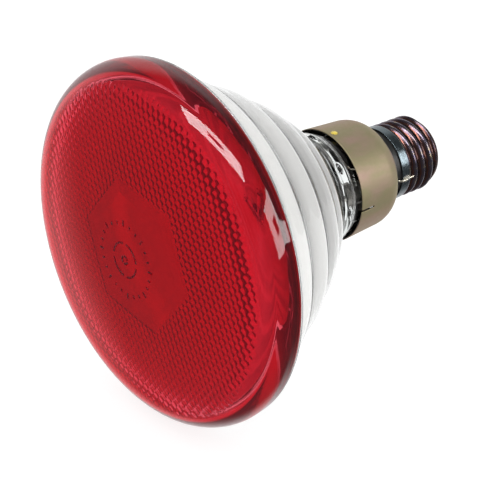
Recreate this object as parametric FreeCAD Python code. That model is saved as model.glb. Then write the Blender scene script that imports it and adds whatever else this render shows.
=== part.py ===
"""Red infrared reflector heat lamp with a skirted E27 cap.

Frame: millimetres. The lamp's axis is Y. The lens faces -Y and the cap points along +Y.
The origin is on the axis, at the tip of the centre contact. +Z is up.
Radii are measured from the axis. "depth" is the distance behind the lens apex.
Angles are measured about the axis from +X towards +Z.
"""
import FreeCAD, Part
import math
import os
from FreeCAD import Vector

# Driving dimensions ------------------------------------------------------------------------
OVERALL_LENGTH = 134.4        # lens apex to the tip of the centre contact
RIM_RADIUS = 60.75            # largest radius of the lamp
CAP_LENGTH = 51.8             # front edge of the skirt to the tip of the centre contact
SKIRT_FRONT_RADIUS = 19.7
SKIRT_BACK_RADIUS = 18.9
SKIRT_SHEET = 0.5
THREAD_CREST_RADIUS = 13.15   # E27 screw thread
THREAD_ROOT_RADIUS = 12.15
THREAD_PITCH = 3.629
INDEX_ANGLE = -7.0            # the angle of the skirt's first slit

# Lens
DOME_RADIUS = 300.0
RIM_ROUNDING = 12.0
RIM_DEPTH = 16.2              # where the rim is widest
SEAM_DEPTH = 20.0             # where the lens is fused to the reflector
SEAM_OUTER_RADIUS = 60.3
SEAM_INNER_RADIUS = 53.2
LENS_WALL = 4.0
LENS_POCKET_RADIUS = 56.6     # inside of the lens's rim at the seam
LENS_FILLET = 5.0
HEXAGON_RADIUS = 24.0         # the plain window in the middle of the patterned lens
HEXAGON_ANGLE = -8.7
HEXAGON_RECESS = 0.8

# Reflector
OUTER_PARABOLA = 52.3         # radius squared = OUTER_PARABOLA * (OUTER_VERTEX - depth)
OUTER_VERTEX = 81.3
INNER_PARABOLA = 48.0
INNER_VERTEX = 78.96
RING_STEPS = ((32.7, 1.1), (45.6, 1.1), (56.9, 1.0), (63.6, 0.6), (67.4, 0.5))
STEP_LENGTH = 2.6
BASE_INNER_DEPTH = 76.4       # flat glass floor that carries the ferrules
BASE_OUTER_DEPTH = 80.9
NECK_RADIUS = 18.7
NECK_BORE = 15.0
NECK_END_DEPTH = 89.0
BOSS_COUNT = 8
BOSS_DEPTH = 77.0
POST_HOLE_RADIUS = 2.2
EXHAUST_RADIUS = 1.6
EXHAUST_STUB = 3.0            # how far the exhaust stub stands off the glass floor
FILM = 0.1                    # stand-in thickness of the mirror film

# Mount inside the bulb
POST_SPACING = 18.0
POST_RADIUS = 0.75
FERRULE_RADIUS = 3.6
FERRULE_WALL = 0.35
FERRULE_RIM_DEPTH = 79.4
FERRULE_END_DEPTH = 88.0
FILAMENT_DEPTH = 67.0         # at the focus of the inner parabola
COIL_RADIUS = 1.1
COIL_TURNS = 15
COIL_WIRE_RADIUS = 0.14
BRIDGE_DEPTH = 72.2
BRIDGE_RADIUS = 1.7

# Cap
SKIRT_LIP_RADIUS = 13.4
SKIRT_LIP_DEPTH = 104.7
BAND_DEPTH = 107.4            # front edge of the screw shell
BAND_RADIUS = 13.2
SHELL_SHEET = 0.35
THREAD_START_DEPTH = 110.6
SHELL_BEND_DEPTH = 125.4
SHELL_BEND_RADIUS = 1.6
SHELL_END_RADIUS = 11.6
SHELL_BEND_ANGLE = 80.0
EYELET_RADIUS = 1.3           # stem of the centre contact
EYELET_BORE = 0.9
INSULATOR_RADIUS = 12.6
CONTACT_RADIUS = 5.2
CONTACT_DEPTH = 129.9        # front face of the contact plate
CONTACT_RIM = 1.6
CONTACT_TOP = CONTACT_DEPTH + CONTACT_RIM + 0.7
SOLDER_RADIUS = 2.2
SLIT_WIDTH = 0.7
SLIT_LENGTH = 5.8
DIMPLE_SETBACK = 2.6          # behind the skirt's front edge
DIMPLE_RADIUS = 1.25
DIMPLE_REACH = 2.3            # how far the punch goes in from the skirt's outside
CLEARANCE = 0.02              # between parts that are pressed together

# Wiring
WIRE_RADIUS = 0.38
SIDE_WIRE_ANGLE = INDEX_ANGLE + 3
NOTCH_WIDTH = 1.1             # in the insulator ring, for the side wire
FUSE_DEPTHS = (100.0, 114.0)
FUSE_WIRE_RADIUS = 0.12
FUSE_SLEEVE_RADIUS = 1.7
FUSE_SLEEVE_WALL = 0.6

AXIS = Vector(0, 1, 0)
ORIGIN = Vector(0, 0, 0)
SKIRT_FRONT_DEPTH = OVERALL_LENGTH - CAP_LENGTH


# Helpers -----------------------------------------------------------------------------------
def place(radius, depth, angle=0.0):
    """The point at this radius, depth and angle in degrees."""
    turn = math.radians(angle)
    return Vector(radius * math.cos(turn), depth - OVERALL_LENGTH, radius * math.sin(turn))


def turned(start, *steps):
    """A solid of revolution. Each step is ("line", end), ("arc", middle, end) or ("curve", points)."""
    edges = []
    here = place(*start)
    for kind, *points in steps:
        if kind == "line":
            there = place(*points[0])
            edges.append(Part.LineSegment(here, there).toShape())
        elif kind == "arc":
            there = place(*points[1])
            edges.append(Part.Arc(here, place(*points[0]), there).toShape())
        else:
            spline = Part.BSplineCurve()
            knots = [here] + [place(*point) for point in points[0]]
            spline.interpolate(knots)
            there = knots[-1]
            edges.append(spline.toShape())
        here = there
    if (here - place(*start)).Length > 1e-7:
        edges.append(Part.LineSegment(here, place(*start)).toShape())
    return Part.Face(Part.Wire(edges)).revolve(ORIGIN, AXIS, 360)


def cylinder(radius, depth_from, depth_to, x=0.0, z=0.0):
    """A cylinder parallel to the lamp's axis."""
    base = Vector(x, depth_from - OVERALL_LENGTH, z)
    return Part.makeCylinder(radius, depth_to - depth_from, base, AXIS)


def swept(points, radius):
    """A round coil wire that curves through the points."""
    path = Part.BSplineCurve()
    path.interpolate(points)
    circle = Part.Wire(Part.makeCircle(radius, points[0], path.tangent(path.FirstParameter)[0]))
    return Part.Wire(path.toShape()).makePipeShell([circle], True, True)


def wrapped(poles):
    """A surface closed round its axis, clamped at the first and last ring of poles."""
    rows = len(poles) - 1
    columns = len(poles[0])
    surface = Part.BSplineSurface()
    surface.buildFromPolesMultsKnots(
        poles,
        [4] + [1] * (rows - 3) + [4], [1] * (columns + 1),
        list(range(rows - 1)), list(range(columns + 1)),
        False, True, 3, 3)
    return surface.toShape()


def pole_shrink(columns):
    """How far a closed surface with this many poles round it lies inside its poles, as a ratio."""
    return (4 + 2 * math.cos(2 * math.pi / columns)) / 6


def ring_edges(skin):
    """The first and the last closed edge of a wrapped surface, along the lamp's axis."""
    rings = [edge for edge in skin.Edges if edge.isClosed()]
    rings.sort(key=lambda edge: edge.Vertexes[0].Y)
    return rings[0], rings[-1]


def closed_solid(faces):
    """A solid from faces that enclose it."""
    shell = Part.makeShell(faces)
    shell.sewShape()
    solid = Part.makeSolid(shell)
    if solid.Volume < 0:
        solid.reverse()
    return solid


def bent(points, radius, rows=40, columns=12):
    """A round wire that curves through points which follow one another along the lamp's axis."""
    path = Part.BSplineCurve()
    path.interpolate(points)
    first, last = path.FirstParameter, path.LastParameter
    size = radius / pole_shrink(columns)
    poles = []
    for i in range(rows + 1):
        where = first + (last - first) * i / rows
        along = path.tangent(where)[0]
        across = Vector(0, 0, 1).cross(along).normalize()
        over = along.cross(across)
        ring = []
        for j in range(columns):
            turn = 2 * math.pi * j / columns
            offset = across * (size * math.cos(turn)) + over * (size * math.sin(turn))
            ring.append(path.value(where) + offset)
        poles.append(ring)
    skin = wrapped(poles)
    ends = [Part.Face(Part.Wire(edge)) for edge in ring_edges(skin)]
    return closed_solid([skin] + ends)


def spun(shape, angle):
    """The shape turned about the lamp's axis, in the sense of the angles used here."""
    copy = shape.copy()
    copy.rotate(ORIGIN, AXIS, -angle)
    return copy


def smooth(value):
    """A smooth ramp from 0 to 1."""
    value = min(max(value, 0.0), 1.0)
    return value * value * (3.0 - 2.0 * value)


# Bulb --------------------------------------------------------------------------------------
def rim_point(slope):
    """The rim rounding's point where the surface is tilted by this angle in degrees."""
    turn = math.radians(slope)
    centre = RIM_RADIUS - RIM_ROUNDING
    return (centre + RIM_ROUNDING * math.sin(turn), RIM_DEPTH - RIM_ROUNDING * math.cos(turn))


def dome_point(radius, offset=0.0):
    """A point of the lens dome, or of the surface that lies offset behind it."""
    ball = DOME_RADIUS - offset
    return (radius, offset + ball - math.sqrt(ball ** 2 - radius ** 2))


def front_lens():
    """Pressed red lens: a shallow dome, a broad rounded rim, and a recessed plain hexagon inside."""
    edge_slope = math.degrees(math.asin((RIM_RADIUS - RIM_ROUNDING) / (DOME_RADIUS - RIM_ROUNDING)))
    edge = rim_point(edge_slope)
    inner_rim = LENS_POCKET_RADIUS - 0.4
    fillet_middle = inner_rim - LENS_FILLET
    face_depth = dome_point(fillet_middle, LENS_WALL)[1]
    fillet_depth = face_depth + LENS_FILLET
    diagonal = LENS_FILLET * math.sqrt(0.5)
    body = turned(
        (0, 0),
        ("arc", dome_point(edge[0] / 2), edge),
        ("arc", rim_point((edge_slope + 90) / 2), (RIM_RADIUS, RIM_DEPTH)),
        ("line", (SEAM_OUTER_RADIUS, SEAM_DEPTH)),
        ("line", (LENS_POCKET_RADIUS, SEAM_DEPTH)),
        ("line", (inner_rim, fillet_depth)),
        ("arc", (fillet_middle + diagonal, fillet_depth - diagonal), (fillet_middle, face_depth)),
        ("arc", dome_point(fillet_middle / 2, LENS_WALL), dome_point(0, LENS_WALL)),
    )
    corners = [place(HEXAGON_RADIUS, 0, HEXAGON_ANGLE + 60 * k) for k in range(7)]
    window = Part.Face(Part.makePolygon(corners)).extrude(AXIS * RIM_DEPTH)
    recess_floor = turned(
        dome_point(0, LENS_WALL - HEXAGON_RECESS),
        ("arc", dome_point(15, LENS_WALL - HEXAGON_RECESS), dome_point(30, LENS_WALL - HEXAGON_RECESS)),
        ("line", (30, RIM_DEPTH)),
        ("line", (0, RIM_DEPTH)),
    )
    return body.cut(window.common(recess_floor))


def reflector_radius(depth):
    """Outer radius of the reflector: a parabola with shallow ring steps."""
    radius = math.sqrt(OUTER_PARABOLA * (OUTER_VERTEX - depth))
    for ring, height in RING_STEPS:
        away = (depth - ring) / STEP_LENGTH
        if -2.2 < away <= 0:
            radius += 0.5 * height * smooth(away / 2.2 + 1)
        elif 0 < away < 1:
            radius += height * (0.5 - smooth(away))
        elif 1 <= away < 3.2:
            radius -= 0.5 * height * smooth((3.2 - away) / 2.2)
    return radius


def reflector_glass():
    """Pressed glass bowl with a floor for the ferrules, and a clear neck that the skirt grips."""
    first = SEAM_DEPTH + 3.4
    last = 71.0
    count = 64
    depths = [first + (last - first) * k / count for k in range(count + 1)]
    side = [(reflector_radius(depth), depth) for depth in depths]
    floor_radius = math.sqrt(INNER_PARABOLA * (INNER_VERTEX - BASE_INNER_DEPTH))
    inner_depths = [BASE_INNER_DEPTH + (SEAM_DEPTH - BASE_INNER_DEPTH) * k / 12 for k in range(1, 13)]
    bowl = [(math.sqrt(INNER_PARABOLA * (INNER_VERTEX - depth)), depth) for depth in inner_depths]
    body = turned(
        (SEAM_INNER_RADIUS - 0.1, SEAM_DEPTH),
        ("line", (SEAM_OUTER_RADIUS, SEAM_DEPTH)),
        ("curve", [(59.6, SEAM_DEPTH + 1.2), (58.2, SEAM_DEPTH + 2.2), side[0]]),
        ("curve", side[1:]),
        ("curve", [(20.9, 73.2), (19.7, 75.3), (19.3, 78.0)]),
        ("arc", (19.1, 79.4), (NECK_RADIUS, 80.4)),
        ("line", (NECK_RADIUS, NECK_END_DEPTH - 0.6)),
        ("line", (NECK_RADIUS - 0.6, NECK_END_DEPTH)),
        ("line", (NECK_BORE, NECK_END_DEPTH)),
        ("line", (NECK_BORE, BASE_OUTER_DEPTH)),
        ("line", (0, BASE_OUTER_DEPTH)),
        ("line", (0, BASE_INNER_DEPTH)),
        ("line", (floor_radius, BASE_INNER_DEPTH)),
        ("curve", bowl[:-1] + [(SEAM_INNER_RADIUS - 0.1, SEAM_DEPTH)]),
    )
    for side_sign in (-1, 1):
        x = side_sign * POST_SPACING / 2
        body = body.cut(cylinder(POST_HOLE_RADIUS, BASE_INNER_DEPTH - 1, BASE_OUTER_DEPTH + 1, x))
        groove = cylinder(FERRULE_RADIUS, FERRULE_RIM_DEPTH, BASE_OUTER_DEPTH + 1, x)
        body = body.cut(groove.cut(cylinder(FERRULE_RADIUS - FERRULE_WALL, 0, 2 * BASE_OUTER_DEPTH, x)))
    body = body.cut(cylinder(EXHAUST_RADIUS, BASE_INNER_DEPTH - 1, BASE_OUTER_DEPTH + 1))
    for k in range(BOSS_COUNT):
        boss = Part.makeSphere(1.0)
        stretch = FreeCAD.Matrix()
        stretch.scale(1.1, 0.9, 1.9)
        boss = boss.transformGeometry(stretch)
        boss.translate(place(19.2, BOSS_DEPTH))
        body = body.fuse(spun(boss, INDEX_ANGLE + 5 + k * 360 / BOSS_COUNT))
    for angle in dimple_angles():
        body = body.cut(spun(dimple_cone(0.25), angle))
    return body


def reflector_coating():
    """Evaporated aluminium film on the inside of the bowl, with clear rings round the posts."""
    floor_radius = math.sqrt(INNER_PARABOLA * (INNER_VERTEX - BASE_INNER_DEPTH))
    depths = [BASE_INNER_DEPTH + (SEAM_DEPTH - BASE_INNER_DEPTH) * k / 12 for k in range(13)]
    outer = [(math.sqrt(INNER_PARABOLA * (INNER_VERTEX - depth)), depth) for depth in depths[1:-1]]
    outer.append((SEAM_INNER_RADIUS - 0.1, SEAM_DEPTH))
    inner = [(radius - 1.1 * FILM, depth - 0.4 * FILM) for radius, depth in outer[:-1]]
    inner.append((SEAM_INNER_RADIUS - 0.1 - FILM, SEAM_DEPTH))
    inner.reverse()
    film = turned(
        (0, BASE_INNER_DEPTH),
        ("line", (floor_radius, BASE_INNER_DEPTH)),
        ("curve", outer),
        ("line", inner[0]),
        ("curve", inner[1:] + [(floor_radius - FILM, BASE_INNER_DEPTH - FILM)]),
        ("line", (0, BASE_INNER_DEPTH - FILM)),
    )
    for x in (-POST_SPACING / 2, 0, POST_SPACING / 2):
        film = film.cut(cylinder(POST_HOLE_RADIUS + 0.4, BASE_INNER_DEPTH - 1, BASE_INNER_DEPTH + 1, x))
    return film


def exhaust_tip():
    """Sealed stub of the exhaust tube behind the middle of the glass floor."""
    end = BASE_OUTER_DEPTH + EXHAUST_STUB
    corner = EXHAUST_RADIUS * math.sqrt(0.5)
    return turned(
        (0, BASE_INNER_DEPTH + EXHAUST_STUB),
        ("line", (EXHAUST_RADIUS, BASE_INNER_DEPTH + EXHAUST_STUB)),
        ("line", (EXHAUST_RADIUS, end)),
        ("arc", (corner, end + corner), (0, end + EXHAUST_RADIUS)),
    )


# Mount -------------------------------------------------------------------------------------
def ferrule(x):
    """Thimble of sealing alloy whose rim is embedded in the glass floor."""
    cup = cylinder(FERRULE_RADIUS, FERRULE_RIM_DEPTH, FERRULE_END_DEPTH, x)
    hollow = cylinder(FERRULE_RADIUS - FERRULE_WALL, FERRULE_RIM_DEPTH - 1, FERRULE_END_DEPTH - 0.5, x)
    return cup.cut(hollow)


def ferrule_brazes():
    """Fillets of filler metal that fix each post to the bottom of its ferrule."""
    fillets = []
    top = FERRULE_END_DEPTH - 0.5
    for x in (-POST_SPACING / 2, POST_SPACING / 2):
        base = Vector(x, top - 1.2 - OVERALL_LENGTH, 0)
        cone = Part.makeCone(POST_RADIUS + 0.25, 2.1, 1.2, base, AXIS)
        fillets.append(cone.cut(cylinder(POST_RADIUS, top - 3, top + 1, x)))
    return Part.Compound(fillets)


def post(x):
    """Nickel-plated lead post, from the ferrule's bottom to the filament clamp."""
    return cylinder(POST_RADIUS, FILAMENT_DEPTH - 0.9, FERRULE_END_DEPTH - 0.5, x)


def filament_coil():
    """Coiled tungsten wire between the two clamps."""
    length = POST_SPACING - 3.6
    per_turn = 12
    points = [Vector(-POST_SPACING / 2 + 0.95, FILAMENT_DEPTH - OVERALL_LENGTH, 0)]
    count = COIL_TURNS * per_turn
    for k in range(count + 1):
        part = k / count
        turn = 2 * math.pi * COIL_TURNS * part
        radius = COIL_RADIUS * smooth(min(part, 1 - part) * COIL_TURNS)
        x = length * (part - 0.5)
        y = FILAMENT_DEPTH - OVERALL_LENGTH + radius * math.sin(turn)
        points.append(Vector(x, y, radius * math.cos(turn)))
    points.append(Vector(POST_SPACING / 2 - 0.95, FILAMENT_DEPTH - OVERALL_LENGTH, 0))
    return swept(points, COIL_WIRE_RADIUS)


def filament_clamps(coil, posts):
    """Folded tabs at the tips of the posts that pinch the ends of the filament."""
    tabs = []
    for side_sign in (-1, 1):
        low_x = side_sign * POST_SPACING / 2 - 1.15
        low = Vector(low_x, FILAMENT_DEPTH - 1.2 - OVERALL_LENGTH, -0.95)
        tab = Part.makeBox(2.3, 2.8, 1.9, low)
        tab = tab.makeFillet(0.4, [edge for edge in tab.Edges if abs(edge.tangentAt(0).y) > 0.9])
        tab = tab.cut(coil)
        for item in posts:
            tab = tab.cut(item)
        tabs.append(tab)
    return Part.Compound(tabs)


def bridge_bead(posts):
    """Glass bead that ties the two posts together and carries the filament anchor."""
    length = POST_SPACING + 6
    base = Vector(-length / 2, BRIDGE_DEPTH - OVERALL_LENGTH, 0)
    bead = Part.makeCylinder(BRIDGE_RADIUS, length, base, Vector(1, 0, 0))
    bead = bead.makeFillet(BRIDGE_RADIUS * 0.8, [bead.Edges[0], bead.Edges[2]])
    for item in posts:
        bead = bead.cut(item)
    return bead.cut(anchor_stem())


def anchor_stem():
    """Straight part of the filament anchor."""
    return cylinder(0.3, FILAMENT_DEPTH + COIL_RADIUS + 0.75, BRIDGE_DEPTH + 0.6)


def filament_anchor():
    """Molybdenum support: a stem in the bead, with a loop that the coil passes through."""
    centre = Vector(0, FILAMENT_DEPTH - OVERALL_LENGTH, 0)
    loop = Part.makeTorus(COIL_RADIUS + 0.65, 0.3, centre, Vector(1, 0, 0))
    return anchor_stem().fuse(loop)


# Cap ---------------------------------------------------------------------------------------
def dimple_angles():
    """The two places where the skirt is punched into the glass neck."""
    return (INDEX_ANGLE + 90, INDEX_ANGLE - 90)


def dimple_cone(margin=0.0):
    """Blunt cone that points at the axis, as the punch leaves it."""
    depth = SKIRT_FRONT_DEPTH + DIMPLE_SETBACK
    reach = SKIRT_FRONT_RADIUS + 0.2
    length = DIMPLE_REACH + margin
    return Part.makeCone(
        DIMPLE_RADIUS + margin, 0.45 + margin, length, place(reach, depth), Vector(-1, 0, 0))


def skirt_outline(inset):
    """Radius and depth of the skirt's corner points, for a surface this far inside the outer one."""
    shoulder = SKIRT_LIP_DEPTH - 9.2
    return {
        "front": (SKIRT_FRONT_RADIUS - inset, SKIRT_FRONT_DEPTH),
        "shoulder": (SKIRT_BACK_RADIUS - inset, shoulder),
        "bend": (17.9 - inset * 0.8, shoulder + 4.4 - inset * 0.5),
        "cone": (15.3 - inset * 0.5, shoulder + 7.0 - inset * 0.85),
        "lip_foot": (SKIRT_LIP_RADIUS + 0.3 - inset, SKIRT_LIP_DEPTH - 1.4 - inset * 0.4),
        "lip": (SKIRT_LIP_RADIUS - inset, SKIRT_LIP_DEPTH),
    }


def cap_skirt():
    """Drawn sheet skirt, slit at two places and punched at two others to grip the neck."""
    outer = skirt_outline(0)
    inner = skirt_outline(SKIRT_SHEET)
    skirt = turned(
        outer["front"],
        ("line", outer["shoulder"]),
        ("arc", outer["bend"], outer["cone"]),
        ("line", outer["lip_foot"]),
        ("line", outer["lip"]),
        ("line", inner["lip"]),
        ("line", inner["lip_foot"]),
        ("line", inner["cone"]),
        ("arc", inner["bend"], inner["shoulder"]),
        ("line", inner["front"]),
    )
    for angle in dimple_angles():
        wall = spun(dimple_cone(), angle)
        skirt = skirt.cut(wall).fuse(spun(dimple_shell(), angle))
    for angle in (INDEX_ANGLE, INDEX_ANGLE + 180):
        slit = Part.makeBox(
            6, SLIT_LENGTH + 1, SLIT_WIDTH,
            Vector(SKIRT_BACK_RADIUS - 3, SKIRT_FRONT_DEPTH - 1 - OVERALL_LENGTH, -SLIT_WIDTH / 2))
        skirt = skirt.cut(spun(slit, angle))
    return skirt


def dimple_shell():
    """Wall of one punched dimple, open on the outside."""
    depth = SKIRT_FRONT_DEPTH + DIMPLE_SETBACK
    reach = SKIRT_FRONT_RADIUS + 0.2
    inward = Vector(-1, 0, 0)
    outside = dimple_cone()
    hollow = Part.makeCone(DIMPLE_RADIUS - 0.3, 0.2, 2.0, place(reach, depth), inward)
    shell = outside.cut(hollow)
    limit = cylinder(SKIRT_FRONT_RADIUS - 0.25, SKIRT_FRONT_DEPTH, SKIRT_LIP_DEPTH)
    return shell.common(limit)


def shell_surface_point(row, angle, inset):
    """A point of the screw shell's surface. row runs from 0 at the front to 1 at the rolled end."""
    straight = SHELL_BEND_DEPTH - BAND_DEPTH
    bend = SHELL_BEND_RADIUS * math.radians(SHELL_BEND_ANGLE)
    travel = row * (straight + bend)
    if travel > straight:
        turn = (travel - straight) / SHELL_BEND_RADIUS
        size = SHELL_BEND_RADIUS - inset
        middle = SHELL_END_RADIUS - SHELL_BEND_RADIUS
        return place(middle + size * math.cos(turn), SHELL_BEND_DEPTH + size * math.sin(turn), angle)
    depth = BAND_DEPTH + travel
    fade_in = smooth((depth - THREAD_START_DEPTH) / 1.6)
    fade_out = smooth((SHELL_BEND_DEPTH - 0.3 - depth) / 1.2)
    groove = (THREAD_CREST_RADIUS - THREAD_ROOT_RADIUS) * fade_in * fade_out
    crest = BAND_RADIUS + (THREAD_CREST_RADIUS - BAND_RADIUS) * fade_in
    crest += (SHELL_END_RADIUS - THREAD_CREST_RADIUS) * (1 - fade_out)
    phase = 2 * math.pi * (depth - THREAD_START_DEPTH) / THREAD_PITCH + math.radians(angle)
    return place(crest - groove * (1 - math.cos(phase)) / 2 - inset, depth, angle)


def shell_surface(inset, rows=88, columns=36):
    """The screw shell's outer surface, or the one this far inside it."""
    shrink = pole_shrink(columns)
    poles = []
    for i in range(rows + 1):
        ring = []
        for j in range(columns):
            point = shell_surface_point(i / rows, 360 * j / columns, inset)
            ring.append(Vector(point.x / shrink, point.y, point.z / shrink))
        poles.append(ring)
    return wrapped(poles)


def screw_shell():
    """Rolled sheet shell with the E27 thread, a plain band at the front and a turned-in end."""
    skins = [shell_surface(0.0), shell_surface(SHELL_SHEET)]
    outer, inner = [ring_edges(skin) for skin in skins]
    ends = [Part.makeRuledSurface(outer[k], inner[k]) for k in (0, 1)]
    return closed_solid(skins + ends)


def insulator_ring():
    """Black moulded ring that keeps the skirt apart from the screw shell."""
    lip_bore = SKIRT_LIP_RADIUS - SKIRT_SHEET
    spigot = BAND_RADIUS - SHELL_SHEET - CLEARANCE
    ring = turned(
        (10.4, SKIRT_LIP_DEPTH - 2.2),
        ("line", (lip_bore - 0.6, SKIRT_LIP_DEPTH - 2.2)),
        ("line", (lip_bore, SKIRT_LIP_DEPTH - 1.6)),
        ("line", (lip_bore, SKIRT_LIP_DEPTH)),
        ("line", (INSULATOR_RADIUS, SKIRT_LIP_DEPTH + 0.3)),
        ("line", (INSULATOR_RADIUS, BAND_DEPTH)),
        ("line", (spigot - 0.2, BAND_DEPTH + 0.1)),
        ("line", (spigot - 0.2, THREAD_START_DEPTH - 0.6)),
        ("line", (10.4, THREAD_START_DEPTH - 0.6)),
    )
    notch_start = SKIRT_LIP_DEPTH - 4
    notch = Part.makeBox(
        3, BAND_DEPTH - 1.0 - notch_start, NOTCH_WIDTH,
        Vector(INSULATOR_RADIUS - 2 * WIRE_RADIUS, notch_start - OVERALL_LENGTH, -NOTCH_WIDTH / 2))
    return ring.cut(spun(notch, SIDE_WIRE_ANGLE))


def contact_insulator():
    """Black glass that holds the centre contact in the end of the screw shell."""
    middle = SHELL_END_RADIUS - SHELL_BEND_RADIUS
    bend = SHELL_BEND_RADIUS - SHELL_SHEET - CLEARANCE
    half = math.radians(SHELL_BEND_ANGLE / 2)
    whole = math.radians(SHELL_BEND_ANGLE)
    lip_depth = SHELL_BEND_DEPTH + SHELL_BEND_RADIUS * math.sin(whole)
    lip_radius = middle + bend * math.cos(whole)
    front = SHELL_BEND_DEPTH - 1.4
    return turned(
        (EYELET_RADIUS, front),
        ("line", (middle, front)),
        ("line", (middle + bend, SHELL_BEND_DEPTH)),
        ("arc", (middle + bend * math.cos(half), SHELL_BEND_DEPTH + bend * math.sin(half)),
         (lip_radius, SHELL_BEND_DEPTH + bend * math.sin(whole))),
        ("line", (lip_radius - CLEARANCE, lip_depth)),
        ("arc", (7.7, 128.0), (CONTACT_RADIUS + 0.4, CONTACT_DEPTH + 0.3)),
        ("line", (CONTACT_RADIUS, CONTACT_DEPTH + 0.3)),
        ("line", (CONTACT_RADIUS, CONTACT_DEPTH)),
        ("line", (EYELET_RADIUS, CONTACT_DEPTH)),
    )


def centre_contact():
    """Brass eyelet: a thick domed plate with a short hollow stem."""
    return turned(
        (EYELET_BORE, SHELL_BEND_DEPTH - 0.6),
        ("line", (EYELET_RADIUS, SHELL_BEND_DEPTH - 0.6)),
        ("line", (EYELET_RADIUS, CONTACT_DEPTH)),
        ("line", (CONTACT_RADIUS, CONTACT_DEPTH)),
        ("line", (CONTACT_RADIUS, CONTACT_DEPTH + CONTACT_RIM)),
        ("arc", (3.9, CONTACT_TOP - 0.15), (SOLDER_RADIUS, CONTACT_TOP)),
        ("line", (EYELET_BORE, CONTACT_TOP)),
    )


def centre_solder():
    """Flat-topped solder button that closes the eyelet and touches the holder's spring."""
    return turned(
        (WIRE_RADIUS, CONTACT_DEPTH - 1.0),
        ("line", (EYELET_BORE, CONTACT_DEPTH - 1.0)),
        ("line", (EYELET_BORE, CONTACT_TOP)),
        ("line", (SOLDER_RADIUS, CONTACT_TOP)),
        ("arc", (2.05, OVERALL_LENGTH - 0.7), (1.5, OVERALL_LENGTH)),
        ("line", (0, OVERALL_LENGTH)),
        ("line", (0, CONTACT_DEPTH + 0.6)),
        ("line", (WIRE_RADIUS, CONTACT_DEPTH + 0.6)),
    )


# Wiring inside the cap ---------------------------------------------------------------------

def side_wire():
    """Wire from the neutral ferrule, out past the insulating ring and over the shell's band."""
    in_notch = INSULATOR_RADIUS - WIRE_RADIUS - CLEARANCE
    on_band = BAND_RADIUS + WIRE_RADIUS + CLEARANCE
    return bent([
        place(POST_SPACING / 2, FERRULE_END_DEPTH),
        place(POST_SPACING / 2 + 0.2, FERRULE_END_DEPTH + 4),
        place(11.0, SKIRT_LIP_DEPTH - 8.0, SIDE_WIRE_ANGLE),
        place(in_notch, SKIRT_LIP_DEPTH - 2.4, SIDE_WIRE_ANGLE),
        place(in_notch + 0.15, SKIRT_LIP_DEPTH + 0.4, SIDE_WIRE_ANGLE),
        place(on_band, BAND_DEPTH - 0.3, SIDE_WIRE_ANGLE),
        place(on_band, BAND_DEPTH + 2.4, SIDE_WIRE_ANGLE + 0.8),
        place(on_band + 0.1, BAND_DEPTH + 4.6, SIDE_WIRE_ANGLE + 2.0),
    ], WIRE_RADIUS)


def side_solder(wire):
    """Solder blob that joins the side wire to the shell's band."""
    blob = Part.makeSphere(1.0)
    stretch = FreeCAD.Matrix()
    stretch.scale(1.0, 1.5, 1.35)
    blob = blob.transformGeometry(stretch)
    blob.translate(place(BAND_RADIUS - 0.05, BAND_DEPTH + 1.9))
    blob = spun(blob, SIDE_WIRE_ANGLE + 0.5)
    plug = cylinder(BAND_RADIUS + 0.01, BAND_DEPTH - 5, THREAD_START_DEPTH + 5)
    return blob.cut(plug).cut(wire)


def centre_wires():
    """Two wires in line with the fuse: one from the live ferrule, one to the centre contact."""
    x = -POST_SPACING / 2
    front = [
        place(-x, FERRULE_END_DEPTH, 180),
        place(-x - 0.2, FERRULE_END_DEPTH + 3, 180),
        place(4.6, 95.4, 180),
        place(0.5, FUSE_DEPTHS[0] - 1.0, 180),
        place(0, FUSE_DEPTHS[0] + 3, 0),
    ]
    rear = [
        place(0, FUSE_DEPTHS[1] - 3),
        place(0, FUSE_DEPTHS[1] + 4),
        place(0, CONTACT_DEPTH - 4),
        place(0, CONTACT_DEPTH + 0.6),
    ]
    return Part.Compound([bent(front, WIRE_RADIUS), bent(rear, WIRE_RADIUS)])


def fuse_link():
    """Thin fuse wire between the two centre wires."""
    return cylinder(FUSE_WIRE_RADIUS, FUSE_DEPTHS[0] + 3, FUSE_DEPTHS[1] - 3)


def fuse_sleeve(wires):
    """Glass-fibre sleeve round the fuse."""
    sleeve = cylinder(FUSE_SLEEVE_RADIUS, *FUSE_DEPTHS)
    bore = cylinder(FUSE_SLEEVE_RADIUS - FUSE_SLEEVE_WALL, FUSE_DEPTHS[0] - 1, FUSE_DEPTHS[1] + 1)
    return sleeve.cut(bore).cut(wires)


def wire_solders(wires, wire):
    """Solder that fixes each wire to the back of its ferrule."""
    drops = []
    for x in (-POST_SPACING / 2, POST_SPACING / 2):
        base = Vector(x, FERRULE_END_DEPTH - OVERALL_LENGTH, 0)
        drop = Part.makeCone(2.2, 0.8, 1.4, base, AXIS)
        drops.append(drop.cut(wires).cut(wire))
    return Part.Compound(drops)


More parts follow.
